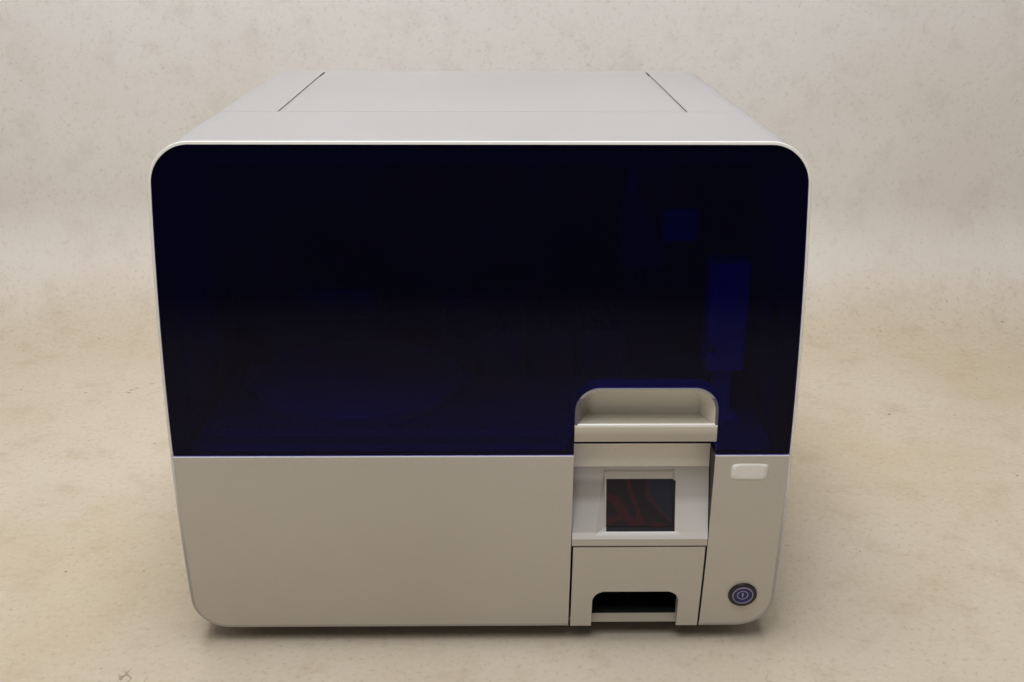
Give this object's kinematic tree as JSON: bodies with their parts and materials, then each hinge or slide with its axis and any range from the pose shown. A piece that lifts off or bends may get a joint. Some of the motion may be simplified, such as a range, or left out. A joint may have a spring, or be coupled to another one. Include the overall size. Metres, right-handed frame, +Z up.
{
  "type": "nucleic acid extractor",
  "caption": "Bench-top nucleic acid extractor: bowed silver cabinet, tinted lifting hood, tilted touchscreen, waste drawer, centrifuge, shaker and pipetting gantry.",
  "frame": {"origin": "middle of the bounding box's bottom face, on the bench", "axes": "+Z up, front faces -Y, +X to the right of someone who stands before it"},
  "size_m": [0.65, 0.62, 0.57],
  "materials": {
    "silver_paint": "satin silver-grey paint",
    "tinted_window": "dark blue tinted clear sheet",
    "dark_frame": "matt near-black",
    "grey_steel": "zinc-plated sheet",
    "table_paint": "smooth grey paint",
    "light_plastic": "moulded light grey",
    "display_glass": "clear cover glass",
    "display_black": "dark display",
    "button_blue": "dark blue cap",
    "rotor_aluminium": "machined",
    "bucket_plastic": "moulded",
    "tip_plastic": "moulded blue",
    "board_green": "circuit board",
    "belt_rubber": "black rubber"
  },
  "bodies": {
    "cabinet": {"cabinet_cover": "silver_paint", "base_frame": "grey_steel", "rear_frame": "grey_steel", "worktable": "table_paint", "bulkhead": "dark_frame", "front_panel_left": "silver_paint", "front_panel_right": "silver_paint", "screen_bezel": "silver_paint", "touch_glass": "display_glass", "display_module": "display_black", "button_ring": "dark_frame", "drawer_bay": "grey_steel", "disposal_chute": "table_paint", "hinge_brackets": "grey_steel", "lock_housing": "light_plastic", "sill": "table_paint", "centrifuge_bowl": "rotor_aluminium", "centrifuge_motor": "rotor_aluminium", "shaker_base": "table_paint", "x_rail": "grey_steel", "x_belt": "belt_rubber", "x_motor": "rotor_aluminium", "power_supply": "grey_steel", "control_board": "board_green", "rear_panel": "grey_steel", "fan_frame": "dark_frame", "power_inlet": "dark_frame", "feet": "belt_rubber", "bumpers": "dark_frame", "screws": "grey_steel"},
    "hood": {"hood_shell": "silver_paint", "hood_window": "tinted_window", "hood_handle": "silver_paint", "hood_frame": "dark_frame", "hood_arm_left": "grey_steel", "hood_arm_right": "grey_steel", "hinge_shaft": "grey_steel", "striker": "dark_frame"},
    "drawer": {"drawer_front": "silver_paint", "drawer_tray": "light_plastic"},
    "button": {"button_cap": "button_blue"},
    "bolt": {"lock_bolt": "dark_frame"},
    "rotor": {"centrifuge_rotor": "rotor_aluminium", "centrifuge_buckets": "bucket_plastic"},
    "lid": {"centrifuge_lid": "light_plastic"},
    "cross_slide": {"shaker_slide": "rotor_aluminium"},
    "tube_block": {"shaker_block": "rotor_aluminium"},
    "reagents": {"reagent_rack": "light_plastic", "reagent_bottles": "bucket_plastic"},
    "tips_left": {"tip_rack_left": "tip_plastic"},
    "tips_middle": {"tip_rack_middle": "tip_plastic"},
    "tips_right": {"tip_rack_right": "tip_plastic"},
    "gantry": {"x_carriage": "rotor_aluminium", "arm_beam": "rotor_aluminium"},
    "head": {"y_sleeve": "rotor_aluminium", "head_cover": "light_plastic"},
    "spindle": {"pipette": "dark_frame"},
    "drive_pulley": {"x_pulley_drive": "rotor_aluminium"},
    "idler_pulley": {"x_pulley_idler": "rotor_aluminium"},
    "fan": {"fan_rotor": "dark_frame"}
  },
  "joints": [
    {"name": "hood_hinge", "type": "hinge", "parent": "cabinet", "child": "hood", "pos_m": [0, 0.262, 0.532], "axis": [-1, 0, 0], "range_deg": [0, 32]},
    {"name": "drawer_slide", "type": "slide", "parent": "cabinet", "child": "drawer", "axis": [0, -1, 0], "range_m": [0, 0.26]},
    {"name": "button_press", "type": "slide", "parent": "cabinet", "child": "button", "axis": [0, 0.9864, 0.1642], "range_m": [0, 0.002], "stiffness_N_per_m": 400},
    {"name": "bolt_slide", "type": "slide", "parent": "cabinet", "child": "bolt", "axis": [1, 0, 0], "range_m": [0, 0.015]},
    {"name": "rotor_spin", "type": "hinge", "parent": "cabinet", "child": "rotor", "pos_m": [-0.154, -0.088, 0.19], "axis": [0, 0, 1], "continuous": true},
    {"name": "lid_hinge", "type": "hinge", "parent": "cabinet", "child": "lid", "pos_m": [-0.29, -0.088, 0.2446], "axis": [0, -1, 0], "range_deg": [0, 85]},
    {"name": "shake_x", "type": "slide", "parent": "cabinet", "child": "cross_slide", "axis": [1, 0, 0], "range_m": [-0.0015, 0.0015]},
    {"name": "shake_y", "type": "slide", "parent": "cross_slide", "child": "tube_block", "axis": [0, 1, 0], "range_m": [-0.0015, 0.0015]},
    {"name": "reagents_lift", "type": "slide", "parent": "cabinet", "child": "reagents", "axis": [0, 0, 1], "range_m": [0, 0.08]},
    {"name": "tips_left_lift", "type": "slide", "parent": "cabinet", "child": "tips_left", "axis": [0, 0, 1], "range_m": [0, 0.08]},
    {"name": "tips_middle_lift", "type": "slide", "parent": "cabinet", "child": "tips_middle", "axis": [0, 0, 1], "range_m": [0, 0.08]},
    {"name": "tips_right_lift", "type": "slide", "parent": "cabinet", "child": "tips_right", "axis": [0, 0, 1], "range_m": [0, 0.08]},
    {"name": "gantry_x", "type": "slide", "parent": "cabinet", "child": "gantry", "axis": [-1, 0, 0], "range_m": [0, 0.436]},
    {"name": "head_y", "type": "slide", "parent": "gantry", "child": "head", "axis": [0, -1, 0], "range_m": [0, 0.24]},
    {"name": "spindle_z", "type": "slide", "parent": "head", "child": "spindle", "axis": [0, 0, -1], "range_m": [0, 0.05]},
    {"name": "drive_pulley_spin", "type": "hinge", "parent": "cabinet", "child": "drive_pulley", "pos_m": [0.262, 0.19, 0.501], "axis": [0, 1, 0], "range_deg": [-2, 2302]},
    {"name": "idler_pulley_spin", "type": "hinge", "parent": "cabinet", "child": "idler_pulley", "pos_m": [-0.262, 0.19, 0.501], "axis": [0, 1, 0], "range_deg": [-2, 2302]},
    {"name": "fan_spin", "type": "hinge", "parent": "cabinet", "child": "fan", "pos_m": [-0.15, 0.275, 0.15], "axis": [0, 1, 0], "continuous": true}
  ],
  "couplings": [
    {"joint": "drive_pulley_spin", "follows": "gantry_x", "rad_per_m": 92},
    {"joint": "idler_pulley_spin", "follows": "gantry_x", "rad_per_m": 92}
  ]
}
